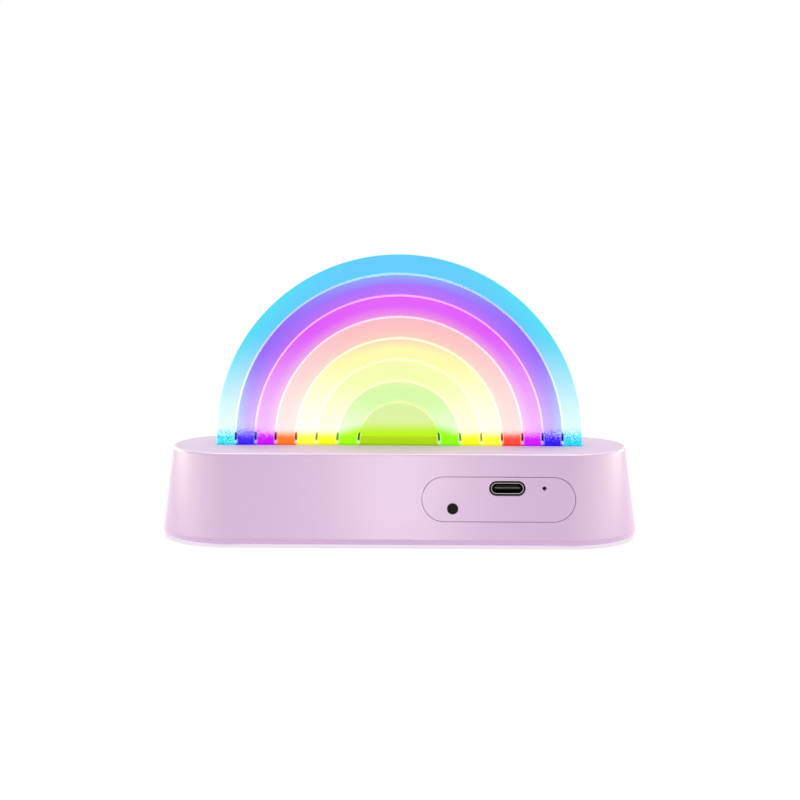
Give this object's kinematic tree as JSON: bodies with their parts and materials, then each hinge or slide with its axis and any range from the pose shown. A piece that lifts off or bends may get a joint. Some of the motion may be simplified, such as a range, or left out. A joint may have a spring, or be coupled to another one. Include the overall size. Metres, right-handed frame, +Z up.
{
  "type": "rainbow lamp",
  "caption": "Small lamp whose clear acrylic rainbow, parted into bands by arched slits, is edge-lit from a drafted base with rounded ends, a USB-C socket and a push button.",
  "frame": {"origin": "on the table, under the middle of the base: the plane of the feet's undersides", "axes": "+Z up, +X along the base, -Y towards the side with the USB-C socket and the button"},
  "size_m": [0.1294, 0.0382, 0.0769],
  "materials": {
    "lavender_abs": "fine satin texture",
    "lavender_abs_cover": "fine spark texture",
    "clear_acrylic": "polished, edge-lit",
    "white_abs": "gloss, reflective",
    "solder_mask_green": "satin solder mask over glass-epoxy",
    "led_package": "white package with clear lens",
    "zinc_steel": "zinc plated",
    "socket_steel": "rolled, nickel plated",
    "black_lcp": "moulded, matte",
    "contact_gold": "gold plated",
    "black_abs": "fine matte",
    "chip_epoxy": "matte moulded epoxy",
    "microphone_can": "drawn can",
    "black_rubber": "matte",
    "grey_rubber": "matte",
    "tape": "adhesive film",
    "foam": "closed-cell foam",
    "battery_foil": "laminated pouch foil",
    "lead_insulation": "satin insulation"
  },
  "bodies": {
    "lamp": {"base_shell": "lavender_abs", "bottom_cover": "lavender_abs_cover", "cover_screws": "zinc_steel", "rubber_feet": "grey_rubber", "rainbow_plate": "clear_acrylic", "plate_holder": "white_abs", "holder_screws": "zinc_steel", "led_board": "solder_mask_green", "leds": "led_package", "board_header": "black_abs", "main_board": "solder_mask_green", "board_chips": "chip_epoxy", "board_screws": "zinc_steel", "port_panel": "lavender_abs", "panel_tape": "tape", "usb_shell": "socket_steel", "usb_tongue": "black_lcp", "usb_contacts": "contact_gold", "switch_body": "black_abs", "microphone": "microphone_can", "mic_gasket": "black_rubber", "battery": "battery_foil", "battery_tape": "foam", "battery_leads": "lead_insulation"},
    "button": {"button_cap": "black_abs", "switch_plunger": "black_abs"}
  },
  "joints": [
    {"name": "button_press", "type": "slide", "parent": "lamp", "child": "button", "axis": [0, 1, 0], "range_m": [0, 0.00025], "stiffness_N_per_m": 6400}
  ]
}
